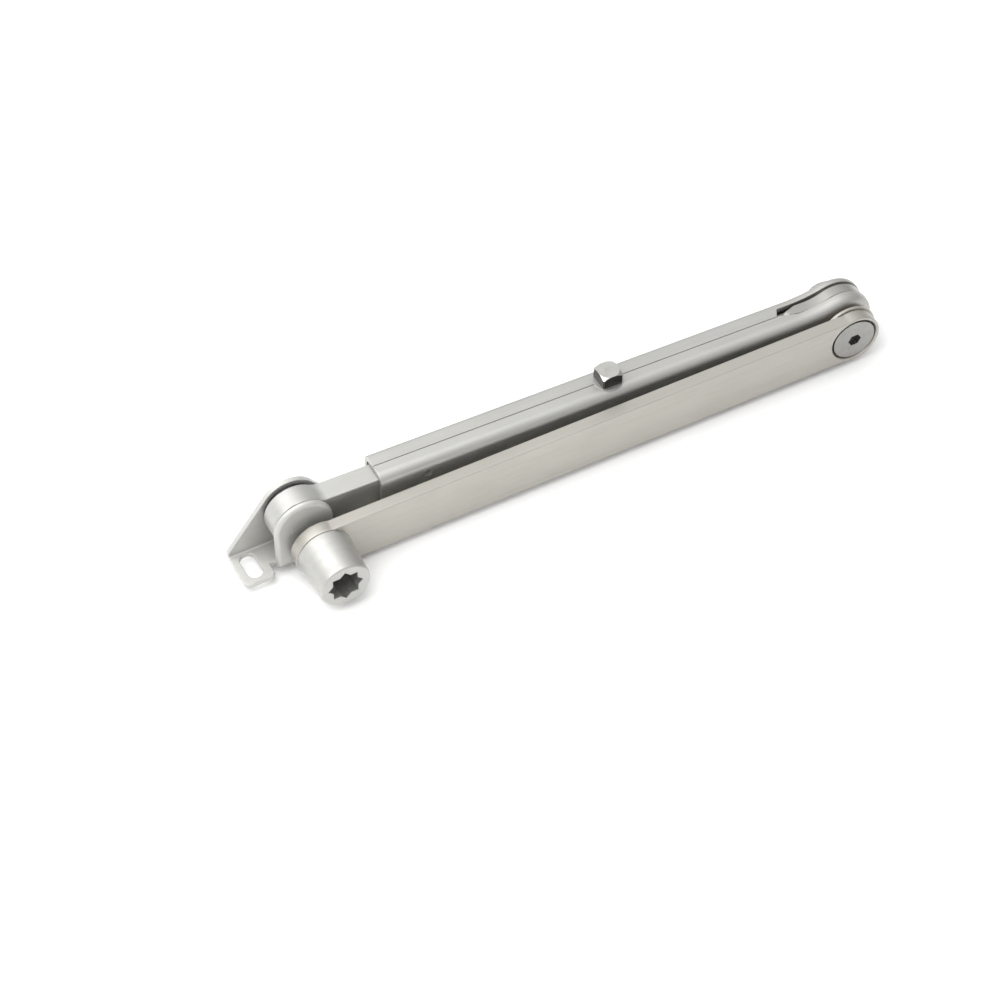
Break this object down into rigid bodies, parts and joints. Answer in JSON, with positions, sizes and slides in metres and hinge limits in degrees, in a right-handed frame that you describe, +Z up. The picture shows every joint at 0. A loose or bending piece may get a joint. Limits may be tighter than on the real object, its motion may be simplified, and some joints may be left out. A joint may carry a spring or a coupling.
{
  "type": "door closer arm",
  "caption": "Folding door closer arm: flat main arm with pinion hub, elbow, telescoping forearm and a bracket foot for the frame.",
  "frame": {"origin": "centre of the pinion socket's mouth, on the hub's outer face", "axes": "+X along the main arm to the elbow; +Y from the socket's mouth into the arm, along every pivot; +Z up, across the main arm's width, with the folded arm standing on its edge"},
  "size_m": [0.3338, 0.058, 0.0413],
  "materials": {
    "silver_paint": "aluminium-coloured enamel, satin",
    "plated_steel": "zinc plated, satin",
    "bronze": "sintered bronze, dull"
  },
  "bodies": {
    "main_arm": {"main_arm_bar": "silver_paint", "pinion_hub": "silver_paint", "elbow_screw": "plated_steel", "elbow_steel_washer": "silver_paint", "elbow_thrust_washer": "bronze", "elbow_back_washer": "plated_steel", "elbow_nut": "plated_steel"},
    "forearm": {"forearm_tube": "silver_paint", "elbow_knuckle": "silver_paint", "knuckle_shim": "bronze", "elbow_bushing": "bronze", "clamp_insert": "silver_paint"},
    "clamp": {"clamp_screw": "plated_steel"},
    "rod": {"adjusting_rod": "silver_paint", "eye_bushing": "bronze"},
    "foot": {"foot_bracket": "silver_paint", "foot_pivot_pin": "plated_steel", "foot_spring_washer": "plated_steel", "foot_front_washer": "plated_steel", "foot_back_washer": "plated_steel"}
  },
  "joints": [
    {"name": "elbow", "type": "hinge", "parent": "main_arm", "child": "forearm", "pos_m": [0.28, 0.0418, 0], "axis": [0, 1, 0], "range_deg": [-175, 175]},
    {"name": "clamp_turn", "type": "hinge", "parent": "forearm", "child": "clamp", "pos_m": [0.15701, 0.0418, 0.01727], "axis": [0.0339, 0, 0.9994], "range_deg": [0, 720]},
    {"name": "rod_extend", "type": "slide", "parent": "forearm", "child": "rod", "axis": [-0.9994, 0, 0.0339], "range_m": [-0.004, 0.045]},
    {"name": "foot_pivot", "type": "hinge", "parent": "rod", "child": "foot", "pos_m": [-0.00459, 0.04105, 0.00964], "axis": [0, 1, 0], "range_deg": [-5, 180]}
  ]
}
